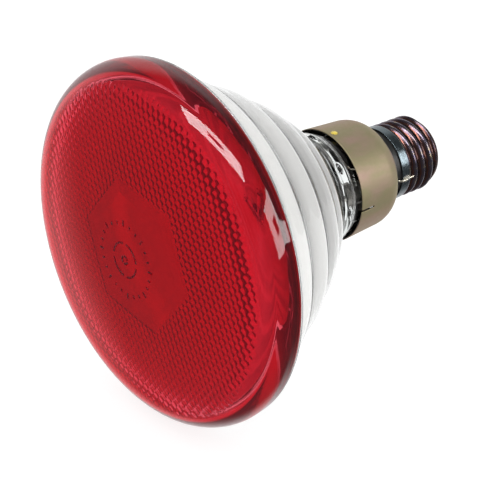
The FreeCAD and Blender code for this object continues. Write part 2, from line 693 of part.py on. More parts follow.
# Output ------------------------------------------------------------------------------------
def build():
    """Every node of the lamp by name."""
    posts = [post(-POST_SPACING / 2), post(POST_SPACING / 2)]
    coil = filament_coil()
    wire = side_wire()
    wires = centre_wires()
    return {
        "front_lens": front_lens(),
        "reflector_glass": reflector_glass(),
        "reflector_coating": reflector_coating(),
        "exhaust_tip": exhaust_tip(),
        "ferrule_live": ferrule(-POST_SPACING / 2),
        "ferrule_neutral": ferrule(POST_SPACING / 2),
        "ferrule_brazes": ferrule_brazes(),
        "lead_post_live": posts[0],
        "lead_post_neutral": posts[1],
        "filament_coil": coil,
        "filament_clamps": filament_clamps(coil, posts),
        "bridge_bead": bridge_bead(posts),
        "filament_anchor": filament_anchor(),
        "cap_skirt": cap_skirt(),
        "insulator_ring": insulator_ring(),
        "screw_shell": screw_shell(),
        "contact_insulator": contact_insulator(),
        "centre_contact": centre_contact(),
        "centre_solder": centre_solder(),
        "side_wire": wire,
        "side_solder": side_solder(wire),
        "centre_wires": wires,
        "fuse_link": fuse_link(),
        "fuse_sleeve": fuse_sleeve(wires),
        "ferrule_solders": wire_solders(wires, wire),
    }


os.makedirs("parts", exist_ok=True)
for name, shape in build().items():
    shape.exportStep(f"parts/{name}.step")
    print(name, shape.isValid(), round(shape.Volume, 2), [round(v, 2) for v in (
        shape.BoundBox.XMin, shape.BoundBox.YMin, shape.BoundBox.ZMin,
        shape.BoundBox.XMax, shape.BoundBox.YMax, shape.BoundBox.ZMax)])
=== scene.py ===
import math

import bpy
import numpy as np
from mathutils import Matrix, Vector


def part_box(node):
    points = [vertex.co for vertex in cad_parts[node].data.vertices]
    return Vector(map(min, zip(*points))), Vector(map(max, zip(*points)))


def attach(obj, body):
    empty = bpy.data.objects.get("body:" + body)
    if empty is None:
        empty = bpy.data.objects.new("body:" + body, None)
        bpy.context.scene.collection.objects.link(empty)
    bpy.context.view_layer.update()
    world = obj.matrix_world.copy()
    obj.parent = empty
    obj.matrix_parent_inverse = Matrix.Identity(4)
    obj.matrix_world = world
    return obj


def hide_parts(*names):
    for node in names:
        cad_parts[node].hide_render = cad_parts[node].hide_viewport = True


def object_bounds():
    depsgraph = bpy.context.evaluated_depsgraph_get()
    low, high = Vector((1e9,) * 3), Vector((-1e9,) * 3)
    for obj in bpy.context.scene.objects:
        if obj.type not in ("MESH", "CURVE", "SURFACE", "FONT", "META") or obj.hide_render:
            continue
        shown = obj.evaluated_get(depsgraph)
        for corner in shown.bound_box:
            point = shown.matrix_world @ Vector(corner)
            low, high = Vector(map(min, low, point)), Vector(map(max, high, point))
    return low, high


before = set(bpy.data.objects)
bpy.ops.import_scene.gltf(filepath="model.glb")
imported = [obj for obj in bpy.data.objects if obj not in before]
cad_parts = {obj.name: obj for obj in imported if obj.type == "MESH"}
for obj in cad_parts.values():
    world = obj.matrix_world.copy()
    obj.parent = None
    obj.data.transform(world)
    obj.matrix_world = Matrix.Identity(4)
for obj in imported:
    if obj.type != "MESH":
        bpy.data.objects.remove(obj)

# A red reflector heat lamp. Its axis is Y: the lens faces -Y and the cap is at +Y.
# Sizes are in millimetres: radii from the axis, depths from the lens apex towards the cap.
# MM turns them into metres. Angles are in degrees about the axis, from +X towards +Z.
MM = 0.001
CAD_BOX = [list(corner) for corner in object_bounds()]
APEX_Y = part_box("front_lens")[0].y
CENTRE = (Vector(CAD_BOX[0]) + Vector(CAD_BOX[1])) / 2
POLE_RADIUS = 1e-6

# Mesh columns round the axis
FINE = 720
SKIRT_COLUMNS = 640
COARSE = 360
SHELL_COLUMNS = 240

# Lens
RIM_RADIUS = 60.7
RIM_ROUNDING = 12.0
RIM_DEPTH = 16.2
DOME_RADIUS = 300.0
SEAM_DEPTH = 20.0
SEAM_RADIUS = 60.3
SEAM_CHAMFER = 0.4
SEAM_GAP = 0.02               # from the seam to the lens, and to the bowl
LENS_WALL = 4.0
LENS_ROW = 0.44               # distance between mesh rows of the inner face
POCKET_RADIUS = 56.6
POCKET_DRAFT = 0.4
LENS_FILLET = 5.0
FILLET_MIDDLE = POCKET_RADIUS - POCKET_DRAFT - LENS_FILLET
LENSLET_PITCH = 2.55
LENSLET_HEIGHT = 0.34
PATTERN_RADIUS = 54.6
PATTERN_FADE = 2.2
HEXAGON_ANGLE = -8.7
HEXAGON_RADIUS = 24.9
HEXAGON_BEVEL = 3.6
HEXAGON_RECESS = 0.26
HEXAGON_FADE = 0.9

# Reflector bowl: radius squared = FOCAL * (VERTEX - depth), with ring steps of (depth, height)
OUTER_FOCAL = 52.3
OUTER_VERTEX = 81.3
INNER_FOCAL = 48.0
INNER_VERTEX = 78.96
INNER_ROWS = 130
RING_STEPS = ((32.7, 1.1), (45.6, 1.1), (56.9, 1.0), (63.6, 0.6), (67.4, 0.5))
STEP_LENGTH = 2.6
STEP_RUN = 2.2                # length of the slope before and after a step, in step lengths
INNER_STEP = 1.25             # height of a step inside, as a share of its height outside
BOWL_RIM_RADIUS = 53.2
SIDE_START_DEPTH = SEAM_DEPTH + 3.4
SIDE_END_DEPTH = 70.9
FLOOR_DEPTH = 76.4
FLOOR_BACK_DEPTH = 80.9
NECK_RADIUS = 18.7
NECK_BORE = 15.0
NECK_END_DEPTH = 89.0
BOSS_COUNT = 8
BOSS_DEPTH = 77.0
BOSS_HEIGHT = 0.9
BOSS_HALF_WIDTH = 1.7
BOSS_HALF_LENGTH = 0.9
WAVE_DEPTH = 79.6             # where the melted edge of the neck wavers
FILM_GAP = 0.03
FILM_WALL = 0.09

# Cap
INDEX_ANGLE = -7.0
SKIRT_SHEET = 0.5
SKIRT_RADIUS = 19.5
SKIRT_FRONT_DEPTH = 82.6
SHOULDER_DEPTH = 95.5
SLIT_WIDTH = 0.8
SLIT_LENGTH = 5.8
DIMPLE_SETBACK = 2.6
DIMPLE_RADIUS = 1.3
DIMPLE_DEPTH = 1.1
DIMPLE_MIDDLE = SKIRT_FRONT_DEPTH + DIMPLE_SETBACK
BAND_DEPTH = 107.4
BAND_RADIUS = 13.2
THREAD_START_DEPTH = 110.6
THREAD_PITCH = 3.629
CREST_RADIUS = 13.15
ROOT_RADIUS = 12.15
SHELL_END_RADIUS = 11.6
SHELL_BEND_DEPTH = 125.4
SHELL_BEND_RADIUS = 1.6
SHELL_BEND_ANGLE = 80.0
SHELL_WALL = 0.30
SHELL_ROW = 0.11

# Painted shade on the reflector: the film's outward tone just behind each ring step, and before the next
PAINTED_BAND_SHADES = ((0.72, 0.95), (0.38, 0.82), (0.12, 0.62), (0.05, 0.50), (0.03, 0.50), (0.10, 0.80))

# Stage
AZIMUTH = 50.2
ELEVATION = 27.8
AIM = CENTRE + Vector((0.0178, -0.0355, 0.0036))
DISTANCE = 0.563
FOCAL_LENGTH = 135
SENSOR_WIDTH = 36
SWEEP = (-0.7, 0.7, -0.2)     # direction of the bright side of the room
SWEEP_LIGHT = 0.92
ROOM_LIGHT = 0.16
FILL_LIGHT = 1.0
FLOOR_HALF = 3.0
FLOOR_DROP = 0.0005


# Shape helpers -----------------------------------------------------------------------------
def smooth(value):
    value = np.clip(value, 0.0, 1.0)
    return value * value * (3.0 - 2.0 * value)


def new_mesh(name, points, faces):
    mesh = bpy.data.meshes.new(name)
    mesh.from_pydata(points, [], faces)
    mesh.polygons.foreach_set("use_smooth", [True] * len(mesh.polygons))
    mesh.update()
    piece = bpy.data.objects.new(name, mesh)
    bpy.context.scene.collection.objects.link(piece)
    return piece


def around(line, columns):
    """Each value of an outline, repeated for every column."""
    return np.outer(line, np.ones(columns))


def turned_points(radius, depth):
    """Points in metres from radius and depth, both rows by columns."""
    angle = 2 * np.pi * np.arange(radius.shape[1]) / radius.shape[1]
    x = radius * np.cos(angle) * MM
    z = radius * np.sin(angle) * MM
    return np.stack([x, APEX_Y + depth * MM, z], axis=2)


def sheet_faces(index):
    """Four-sided faces between the rows of a table of point numbers, closed round the axis."""
    after = np.roll(index, -1, axis=1)
    return np.stack([index[:-1], index[1:], after[1:], after[:-1]], axis=2)


def lathe(name, radius, depth, loop=False):
    """A closed mesh turned about the axis, from rows by columns of radius and depth.
    With loop, the last row joins the first. Without it, an end row of zero radius is a pole."""
    rows, columns = radius.shape
    points = turned_points(radius, depth)
    poles = []
    if not loop:
        poles = [row for row in (0, rows - 1) if radius[row].max() < POLE_RADIUS]
    kept = [row for row in range(rows) if row not in poles]
    vertices = points[kept].reshape(-1, 3).tolist()
    index = np.arange(len(kept) * columns).reshape(len(kept), columns)
    closed = np.vstack([index, index[:1]]) if loop else index
    faces = sheet_faces(closed).reshape(-1, 4).tolist()
    for row in poles:
        pole = len(vertices)
        vertices.append([0.0, float(points[row, :, 1].mean()), 0.0])
        ring = index[0] if row == 0 else index[-1][::-1]
        for a, b in zip(ring, np.roll(ring, -1)):
            faces.append([pole, int(a), int(b)])
    return new_mesh(name, vertices, faces)


def resample(outline, step):
    """The same outline with points no further apart than step."""
    line = [outline[0]]
    for a, b in zip(outline, outline[1:]):
        parts = max(1, math.ceil(math.dist(a, b) / step))
        for k in range(1, parts + 1):
            line.append(tuple(np.array(a) + (np.array(b) - np.array(a)) * k / parts))
    return line


def arc(centre, radius, angle_from, angle_to, count):
    """Points of an arc in (radius, depth). Angle 0 is away from the axis, 90 towards the cap."""
    turns = np.radians(np.linspace(angle_from, angle_to, count))
    return [(centre[0] + radius * math.cos(t), centre[1] + radius * math.sin(t)) for t in turns]


def curve_through(points, parts):
    """A smooth curve (Catmull-Rom) through the points, without the first of them."""
    line = []
    last = len(points) - 1
    for k in range(last):
        p0, p1, p2, p3 = (np.array(points[min(max(k + step, 0), last)]) for step in (-1, 0, 1, 2))
        for t in np.linspace(0, 1, parts + 1)[1:]:
            square = (2 * p0 - 5 * p1 + 4 * p2 - p3) * t * t
            cube = (3 * p1 - p0 - 3 * p2 + p3) * t ** 3
            line.append(tuple(0.5 * (2 * p1 + (p2 - p0) * t + square + cube)))
    return line


def turn_away(angle, middle):
    """Signed angle from middle, between -180 and 180."""
    return (angle - middle + 180) % 360 - 180


def outward(piece):
    """Makes the faces point outwards."""
    bpy.context.view_layer.objects.active = piece
    piece.select_set(True)
    bpy.ops.object.mode_set(mode="EDIT")
    bpy.ops.mesh.select_all(action="SELECT")
    bpy.ops.mesh.normals_make_consistent(inside=False)
    bpy.ops.object.mode_set(mode="OBJECT")
    piece.select_set(False)
    return piece


def thicken(piece, wall):
    """Gives an open sheet a wall towards the axis."""
    solid = piece.modifiers.new("wall", "SOLIDIFY")
    solid.thickness = wall * MM
    solid.offset = -1
    bpy.context.view_layer.objects.active = piece
    bpy.ops.object.modifier_apply(modifier=solid.name)
    return piece


# Lens --------------------------------------------------------------------------------------
def dome_depth(radius, offset=0.0):
    ball = DOME_RADIUS - offset
    return offset + ball - np.sqrt(ball ** 2 - radius ** 2)


def lens_outline():
    """The lens from its apex over the rim to the seam, and up the pocket to halfway its fillet."""
    centre = RIM_RADIUS - RIM_ROUNDING
    slope = math.degrees(math.asin(centre / (DOME_RADIUS - RIM_ROUNDING)))
    edge = centre + RIM_ROUNDING * math.sin(math.radians(slope))
    seam = SEAM_DEPTH - SEAM_GAP
    shoulder = (SEAM_RADIUS - SEAM_CHAMFER, seam)
    fillet_depth = float(dome_depth(FILLET_MIDDLE, LENS_WALL)) + LENS_FILLET
    line = [(r, float(dome_depth(r))) for r in np.linspace(0, edge, 34)]
    line += arc((centre, RIM_DEPTH), RIM_ROUNDING, slope - 90, 0, 30)[1:]
    line += resample([(RIM_RADIUS, RIM_DEPTH), (SEAM_RADIUS, SEAM_DEPTH - 0.25)], 0.8)[1:]
    line += [(SEAM_RADIUS - 0.12, SEAM_DEPTH - 0.07), shoulder]
    line += resample([shoulder, (POCKET_RADIUS, seam)], 1.0)[1:]
    line += resample([(POCKET_RADIUS, seam), (POCKET_RADIUS - POCKET_DRAFT, fillet_depth)], 0.8)[1:]
    line += arc((FILLET_MIDDLE, fillet_depth), LENS_FILLET, 0, -46, 12)[1:]
    return np.array(line)


def lenslet_share(u, v):
    """1 at the middle of each lenslet of a hexagonal packing, 0 where three of them meet."""
    row_height = LENSLET_PITCH * math.sqrt(3) / 2
    nearest = np.full(u.shape, np.inf)
    for step in (0, 1):
        row = np.floor(v / row_height) + step
        shift = np.mod(row, 2) * LENSLET_PITCH / 2
        middle = np.round((u - shift) / LENSLET_PITCH) * LENSLET_PITCH + shift
        nearest = np.minimum(nearest, (u - middle) ** 2 + (v - row * row_height) ** 2)
    return 1 - nearest * 3 / LENSLET_PITCH ** 2


def lens_inner_face(radius, angle):
    """Depth of the lens's inner face, and 0 to 1 for how near a point is to a lenslet's top.
    The face is flat as far as the fillet, with lenslets round a plain sunk hexagon."""
    turn = angle - math.radians(HEXAGON_ANGLE)
    u = radius * np.cos(turn)
    v = radius * np.sin(turn)
    share = lenslet_share(u, v)
    sides = [u * math.cos(t) + v * math.sin(t) for t in np.radians(np.arange(30, 390, 60))]
    past_side = np.max(sides, axis=0) - HEXAGON_RADIUS * math.cos(math.radians(30))
    pattern = smooth(past_side / HEXAGON_FADE) * smooth((PATTERN_RADIUS - radius) / PATTERN_FADE)
    recess = HEXAGON_RECESS * np.clip(-past_side / HEXAGON_BEVEL, 0, 1)
    past_middle = np.clip(radius - FILLET_MIDDLE, 0, 0.95 * LENS_FILLET)
    rise = LENS_FILLET - np.sqrt(LENS_FILLET ** 2 - past_middle ** 2)
    face = np.maximum(dome_depth(radius, LENS_WALL), dome_depth(FILLET_MIDDLE, LENS_WALL) + rise)
    return face + LENSLET_HEIGHT * share * pattern - recess, np.clip(share, 0, 1) * pattern


def front_lens():
    outline = lens_outline()
    inner_radii = np.arange(outline[-1, 0] - 0.3, 0, -LENS_ROW)
    angle = 2 * np.pi * np.arange(FINE) / FINE
    inner_radius, inner_angle = np.meshgrid(inner_radii, angle, indexing="ij")
    inner_depth, tops = lens_inner_face(inner_radius, inner_angle)
    pole_depth = np.full((1, FINE), inner_depth[-1].mean())
    radius = np.vstack([around(outline[:, 0], FINE), inner_radius, np.zeros((1, FINE))])
    depth = np.vstack([around(outline[:, 1], FINE), inner_depth, pole_depth])
    lens = lathe("lens_glass", radius, depth)
    values = np.zeros(len(lens.data.vertices))
    first = (len(outline) - 1) * FINE
    values[first:first + tops.size] = tops.ravel()
    lens.data.attributes.new("lenslet", "FLOAT", "POINT").data.foreach_set("value", values)
    return outward(lens)


# Reflector ---------------------------------------------------------------------------------
def ring_step(depth):
    """How far the shallow ring steps push the bowl's wall out at this depth."""
    push = 0.0
    for ring, height in RING_STEPS:
        away = (depth - ring) / STEP_LENGTH
        if -STEP_RUN < away <= 0:
            push += 0.5 * height * float(smooth(away / STEP_RUN + 1))
        elif 0 < away < 1:
            push += height * (0.5 - float(smooth(away)))
        elif 1 <= away < 1 + STEP_RUN:
            push -= 0.5 * height * float(smooth((1 + STEP_RUN - away) / STEP_RUN))
    return push


def outer_radius(depth):
    return math.sqrt(OUTER_FOCAL * (OUTER_VERTEX - depth)) + ring_step(depth)


def inner_radius(depth):
    return math.sqrt(INNER_FOCAL * (INNER_VERTEX - depth)) + INNER_STEP * ring_step(depth)


def bowl_inside():
    """Outline of the bowl's inside, which follows the ring steps of the outside."""
    depths = np.linspace(SEAM_DEPTH, FLOOR_DEPTH, INNER_ROWS)
    return [(inner_radius(d), float(d)) for d in depths]


def bowl_outline():
    """The bowl: back of its floor, bore, neck, stepped outside, flange, inside and floor."""
    bore_end = (NECK_BORE, NECK_END_DEPTH)
    neck = [(NECK_RADIUS, 81.5), (NECK_RADIUS + 0.1, 80.4), (19.25, 79.2), (19.35, 78.0),
            (19.5, 76.2), (20.0, 74.6), (21.3, 72.7)]
    side = [(outer_radius(d), float(d)) for d in np.arange(SIDE_START_DEPTH, SIDE_END_DEPTH, 0.4)]
    flange = [(57.4, SEAM_DEPTH + 2.7), (58.8, SEAM_DEPTH + 2.0), (59.7, SEAM_DEPTH + 1.1),
              (60.15, SEAM_DEPTH + 0.3), (SEAM_RADIUS - SEAM_CHAMFER, SEAM_DEPTH + SEAM_GAP)]
    inside = bowl_inside()
    line = [(0, FLOOR_BACK_DEPTH)]
    line += resample([(1.0, FLOOR_BACK_DEPTH), (NECK_BORE, FLOOR_BACK_DEPTH)], 1.5)
    line += resample([(NECK_BORE, FLOOR_BACK_DEPTH), bore_end], 1.0)[1:]
    line += arc((NECK_BORE + 0.5, NECK_END_DEPTH - 0.5), 0.5, 180, 90, 4)[1:]
    line += arc((NECK_RADIUS - 0.8, NECK_END_DEPTH - 0.8), 0.8, 90, 0, 6)
    line += resample(neck, 0.35)
    line += side[::-1]
    line += flange
    line += resample([flange[-1], (BOWL_RIM_RADIUS, SEAM_DEPTH + SEAM_GAP)], 1.0)[1:]
    line += inside[1:]
    line += resample([inside[-1], (1.0, FLOOR_DEPTH)], 1.5)[1:]
    line += [(0, FLOOR_DEPTH)]
    return np.array(line)


def reflector_bowl():
    outline = bowl_outline()
    turn = 2 * np.pi * np.arange(FINE) / FINE
    radius = around(outline[:, 0], FINE)
    depth = around(outline[:, 1], FINE)
    outside = (radius > NECK_RADIUS - 0.01) & (depth > 72)
    for k in range(BOSS_COUNT):
        middle = INDEX_ANGLE + 5 + k * 360 / BOSS_COUNT
        across = np.radians(turn_away(np.degrees(turn), middle)) * NECK_RADIUS / BOSS_HALF_WIDTH
        along = (depth - BOSS_DEPTH) / BOSS_HALF_LENGTH
        radius = radius + outside * BOSS_HEIGHT * smooth(1.3 - np.sqrt(across ** 2 + along ** 2))
    wave = 0.12 * np.sin(turn * 5 + 0.7) + 0.08 * np.sin(turn * 9)
    near = np.exp(-((depth - WAVE_DEPTH) / 0.9) ** 2) * outside
    return outward(lathe("reflector_bowl", radius, depth + wave * near))


def mirror_film():
    """The film lies just inside the bowl and leaves a hole in the middle of its floor."""
    hole = 3.0
    outer = [(r - FILM_GAP, d - FILM_GAP) for r, d in bowl_inside()]
    inner = [(r - FILM_WALL, d - FILM_WALL) for r, d in outer]
    outer[0] = (outer[0][0], SEAM_DEPTH + 0.2)
    inner[0] = (inner[0][0], SEAM_DEPTH + 0.2)
    line = np.array([(hole, outer[-1][1])] + outer[::-1] + inner + [(hole, inner[-1][1])])
    return outward(lathe("mirror_film", around(line[:, 0], COARSE), around(line[:, 1], COARSE), loop=True))


# Cap ---------------------------------------------------------------------------------------
def skirt_outline():
    """Outside of the skirt, from its front edge over the shoulder to its lip."""
    front = (19.55, SKIRT_FRONT_DEPTH)
    cone = [(19.7, SKIRT_FRONT_DEPTH + 0.25), (18.95, SHOULDER_DEPTH)]
    bend = [(18.95, SHOULDER_DEPTH), (18.75, SHOULDER_DEPTH + 2.2), (18.1, SHOULDER_DEPTH + 4.2),
            (17.0, SHOULDER_DEPTH + 5.9), (15.4, SHOULDER_DEPTH + 7.0)]
    lip = [(15.4, 102.5), (14.0, 103.2), (13.55, 103.7), (13.4, 104.7)]
    return np.array([front] + resample(cone, 0.25) + curve_through(bend, 6) + resample(lip, 0.3)[1:])


def punch_dimples(radius, depth, angle):
    """Two round dimples with slightly uneven edges and a low raised rim, on opposite sides."""
    along = depth - DIMPLE_MIDDLE
    for middle in (INDEX_ANGLE + 90, INDEX_ANGLE - 90):
        across = np.radians(turn_away(angle, middle)) * SKIRT_RADIUS
        reach = np.sqrt(across ** 2 + along ** 2)
        uneven = 0.16 * np.sin(3 * np.arctan2(along, across + 1e-9) + 1.1)
        radius = radius - DIMPLE_DEPTH * smooth((DIMPLE_RADIUS + uneven - reach) / 0.75)
        radius = radius + 0.10 * np.exp(-((reach - DIMPLE_RADIUS - 0.25) / 0.3) ** 2)
    return radius


def cap_skirt():
    """The skirt's sheet, with two slits cut in from its front edge."""
    outline = skirt_outline()
    angle = 360 * np.arange(SKIRT_COLUMNS) / SKIRT_COLUMNS
    depth = around(outline[:, 1], SKIRT_COLUMNS)
    radius = punch_dimples(around(outline[:, 0], SKIRT_COLUMNS), depth, angle)
    dent = np.exp(-(turn_away(angle, INDEX_ANGLE + 62) / 6) ** 2)
    radius = radius - 0.06 * dent * smooth((depth - 84) / 6)
    points = turned_points(radius, depth).reshape(-1, 3).tolist()
    faces = sheet_faces(np.arange(radius.size).reshape(radius.shape))
    keep = np.ones(faces.shape[:2], bool)
    front = outline[:-1, 1] < SKIRT_FRONT_DEPTH + SLIT_LENGTH
    face_angle = angle + 180 / SKIRT_COLUMNS
    for middle in (INDEX_ANGLE, INDEX_ANGLE + 180):
        across = np.radians(np.abs(turn_away(face_angle, middle))) * SKIRT_RADIUS
        keep &= ~(front[:, None] & (across < SLIT_WIDTH / 2))
    skirt = outward(new_mesh("cap_skirt_sheet", points, faces[keep].tolist()))
    return thicken(skirt, SKIRT_SHEET)


def shell_surface(travel, angle):
    """Radius and depth of the screw shell: a plain band, the thread, and a bend to the end face.
    travel is the distance along the shell from its front edge."""
    straight = SHELL_BEND_DEPTH - BAND_DEPTH
    depth = BAND_DEPTH + travel
    fade_in = smooth((depth - THREAD_START_DEPTH) / 1.6)
    fade_out = smooth((SHELL_BEND_DEPTH - 0.3 - depth) / 1.2)
    groove = (CREST_RADIUS - ROOT_RADIUS) * fade_in * fade_out
    crest = BAND_RADIUS + (CREST_RADIUS - BAND_RADIUS) * fade_in
    crest = crest + (SHELL_END_RADIUS - CREST_RADIUS) * (1 - fade_out)
    phase = 2 * np.pi * (depth - THREAD_START_DEPTH) / THREAD_PITCH + angle
    turn = np.maximum(travel - straight, 0) / SHELL_BEND_RADIUS
    bend_radius = SHELL_END_RADIUS - SHELL_BEND_RADIUS + SHELL_BEND_RADIUS * np.cos(turn)
    bend_depth = SHELL_BEND_DEPTH + SHELL_BEND_RADIUS * np.sin(turn)
    radius = np.where(travel > straight, bend_radius, crest - groove * (1 - np.cos(phase)) / 2)
    return radius, np.where(travel > straight, bend_depth, depth)


def screw_shell():
    end = SHELL_BEND_DEPTH - BAND_DEPTH + SHELL_BEND_RADIUS * math.radians(SHELL_BEND_ANGLE)
    travel = np.concatenate([[0.0, 0.06], np.arange(0.2, end, SHELL_ROW), [end]])
    angle = 2 * np.pi * np.arange(SHELL_COLUMNS) / SHELL_COLUMNS
    radius, depth = shell_surface(*np.meshgrid(travel, angle, indexing="ij"))
    radius[0] -= 0.1
    return thicken(outward(lathe("screw_shell_sheet", radius, depth)), SHELL_WALL)


# Generic mark on the lens ------------------------------------------------------------------
def lens_mark():
    """A plain printed mark: a ring of ticks round a broken ring and a dot, with no lettering."""
    points = []
    faces = []

    def bar(radius_from, radius_to, middle, half_width, steps):
        """A thin closed patch between two radii, half_width degrees to each side of middle."""
        first = len(points)
        for turn in np.radians(np.linspace(middle - half_width, middle + half_width, steps + 1)):
            for r in (radius_from, radius_to):
                for lift in (0.004, 0.05):
                    y = APEX_Y + (float(dome_depth(r)) - lift) * MM
                    points.append((r * math.cos(turn) * MM, y, r * math.sin(turn) * MM))
        end = first + 4 * steps
        for a in range(first, end, 4):
            b = a + 4
            faces.extend([(a, b, b + 2, a + 2), (a + 1, a + 3, b + 3, b + 1),
                          (a, a + 1, b + 1, b), (a + 2, b + 2, b + 3, a + 3)])
        faces.append((first, first + 2, first + 3, first + 1))
        faces.append((end, end + 1, end + 3, end + 2))

    for k in range(24):
        bar(11.6, 12.8 if k % 3 else 13.6, 15 * k + 3, 1.6, 3)
    for k in range(4):
        bar(5.4, 6.1, 90 * k + 45, 37, 14)
    for k in range(3):
        bar(0.9, 1.7, 120 * k + 60, 50, 8)
    mark = new_mesh("lens_mark", points, faces)
    mark.data.polygons.foreach_set("use_smooth", [False] * len(mark.data.polygons))
    return outward(mark)


# Materials ---------------------------------------------------------------------------------
class Nodes:
    """A short way to build a node material. Noise and positions use object coordinates."""

    def __init__(self, name):
        self.material = bpy.data.materials.new(name)
        self.material.use_nodes = True
        self.tree = self.material.node_tree
        self.shader = self.tree.nodes["Principled BSDF"]
        self.output = self.tree.nodes["Material Output"]
        self.coords = self.add("ShaderNodeTexCoord").outputs["Object"]

    def add(self, kind, **values):
        node = self.tree.nodes.new(kind)
        for key, value in values.items():
            setattr(node, key, value)
        return node

    def link(self, source, target):
        self.tree.links.new(source, target)

    def feed(self, source, name):
        """Links a result to one of the shader's inputs."""
        self.link(source, self.shader.inputs[name])

    def set(self, **values):
        for key, value in values.items():
            self.shader.inputs[key.replace("_", " ")].default_value = value

    def scaled(self, factors):
        mapping = self.add("ShaderNodeMapping")
        self.link(self.coords, mapping.inputs["Vector"])
        mapping.inputs["Scale"].default_value = factors
        return mapping.outputs["Vector"]

    def noise(self, scale, detail=4.0, rough=0.55, stretch=(1, 1, 1)):
        node = self.add("ShaderNodeTexNoise")
        node.inputs["Scale"].default_value = scale
        node.inputs["Detail"].default_value = detail
        node.inputs["Roughness"].default_value = rough
        self.link(self.scaled(stretch), node.inputs["Vector"])
        return node.outputs["Fac"]

    def ramp(self, source, stops):
        node = self.add("ShaderNodeValToRGB")
        while len(node.color_ramp.elements) < len(stops):
            node.color_ramp.elements.new(0.5)
        for element, (place, colour) in zip(node.color_ramp.elements, stops):
            element.position = place
            element.color = (*colour, 1.0)
        self.link(source, node.inputs["Fac"])
        return node.outputs["Color"]

    def span(self, source, low, high, to_low=0.0, to_high=1.0):
        """Maps low..high to to_low..to_high and holds the ends."""
        node = self.add("ShaderNodeMapRange")
        node.inputs["From Min"].default_value = low
        node.inputs["From Max"].default_value = high
        node.inputs["To Min"].default_value = to_low
        node.inputs["To Max"].default_value = to_high
        self.link(source, node.inputs["Value"])
        return node.outputs["Result"]

    def math(self, operation, a, b=None):
        node = self.add("ShaderNodeMath", operation=operation)
        for socket, value in zip(node.inputs, (a, b)):
            if value is None:
                continue
            if isinstance(value, (int, float)):
                socket.default_value = value
            else:
                self.link(value, socket)
        return node.outputs["Value"]

    def mix(self, factor, a, b):
        """Colour a where the factor is 0, colour b where it is 1."""
        node = self.add("ShaderNodeMix", data_type="RGBA")
        self.link(factor, node.inputs["Factor"])
        for socket, value in ((node.inputs[6], a), (node.inputs[7], b)):
            if isinstance(value, tuple):
                socket.default_value = (*value, 1.0)
            else:
                self.link(value, socket)
        return node.outputs[2]

    def position(self):
        """The X, Y and Z of a point, in metres."""
        parts = self.add("ShaderNodeSeparateXYZ")
        self.link(self.coords, parts.inputs["Vector"])
        return parts.outputs["X"], parts.outputs["Y"], parts.outputs["Z"]

    def axis_radius(self):
        """Distance from the lamp's axis, in mm."""
        x, _, z = self.position()
        square = self.math("ADD", self.math("POWER", x, 2.0), self.math("POWER", z, 2.0))
        return self.math("DIVIDE", self.math("SQRT", square), MM)

    def depth(self):
        """Depth behind the lens apex, in mm."""
        _, y, _ = self.position()
        return self.math("DIVIDE", self.math("SUBTRACT", y, APEX_Y), MM)

    def facing_axis(self):
        """1 on faces that look towards the lamp's axis, else 0."""
        flat = self.add("ShaderNodeVectorMath", operation="MULTIPLY")
        self.link(self.coords, flat.inputs[0])
        flat.inputs[1].default_value = (1, 0, 1)
        dot = self.add("ShaderNodeVectorMath", operation="DOT_PRODUCT")
        self.link(flat.outputs["Vector"], dot.inputs[0])
        self.link(self.add("ShaderNodeNewGeometry").outputs["True Normal"], dot.inputs[1])
        return self.math("LESS_THAN", dot.outputs["Value"], -0.0001)

    def punched(self):
        """1 inside the two dimples of the skirt, else 0."""
        x, _, z = self.position()
        turn = math.radians(INDEX_ANGLE + 90)
        across = self.math("ADD", self.math("MULTIPLY", x, -math.sin(turn)),
                           self.math("MULTIPLY", z, math.cos(turn)))
        across = self.math("DIVIDE", across, MM)
        along = self.math("SUBTRACT", self.depth(), DIMPLE_MIDDLE)
        square = self.math("ADD", self.math("POWER", across, 2.0), self.math("POWER", along, 2.0))
        return self.span(square, (DIMPLE_RADIUS + 0.1) ** 2, (DIMPLE_RADIUS - 0.35) ** 2)

    def bump(self, height, strength, distance):
        node = self.add("ShaderNodeBump")
        node.inputs["Strength"].default_value = strength
        node.inputs["Distance"].default_value = distance
        self.link(height, node.inputs["Height"])
        self.feed(node.outputs["Normal"], "Normal")

    def roughness(self, scale, low, high, detail=4, start=0.3):
        """Roughness between low and high that follows a noise."""
        self.feed(self.span(self.noise(scale, detail), start, 0.7, low, high), "Roughness")

    def absorb(self, colour, density):
        node = self.add("ShaderNodeVolumeAbsorption")
        node.inputs["Color"].default_value = (*colour, 1.0)
        node.inputs["Density"].default_value = density
        self.link(node.outputs["Volume"], self.output.inputs["Volume"])


def red_glass():
    """Painted shade makes it deeper red towards the seam. A faint painted emission, more on the lenslets,
    stands in for light scattered in the glass. Grazing reflections are tinted red."""
    n = Nodes("red_glass")
    n.set(Transmission_Weight=1.0, IOR=1.5, Emission_Color=(1.0, 0.013, 0.10, 1))
    n.roughness(180, 0.0, 0.035, detail=3, start=0.35)
    n.bump(n.noise(60, 3), 0.05, 0.0004)
    # painted shade: the base colour darkens from depth 13 to 18 mm towards the seam, where the thick rim
    # glass looks dark maroon
    edge = n.span(n.depth(), 13.0, 18.0)
    n.feed(n.mix(edge, (1, 1, 1), (0.42, 0.08, 0.14)), "Base Color")
    grazing = n.span(n.add("ShaderNodeLayerWeight").outputs["Facing"], 0.45, 0.75)
    n.feed(n.mix(grazing, (1, 1, 1), (0.62, 0.10, 0.14)), "Specular Tint")
    top = n.add("ShaderNodeAttribute", attribute_name="lenslet").outputs["Fac"]
    # painted light: emission on the lenslet tops, halved towards the seam, stands in for light scattered
    # in the glass
    painted_glow = n.span(n.math("POWER", top, 2.0), 0, 1, 0.040, 0.22)
    n.feed(n.math("MULTIPLY", painted_glow, n.span(edge, 0, 1, 1.0, 0.5)), "Emission Strength")
    n.absorb((0.885, 0.06, 0.20), 540)
    return n.material


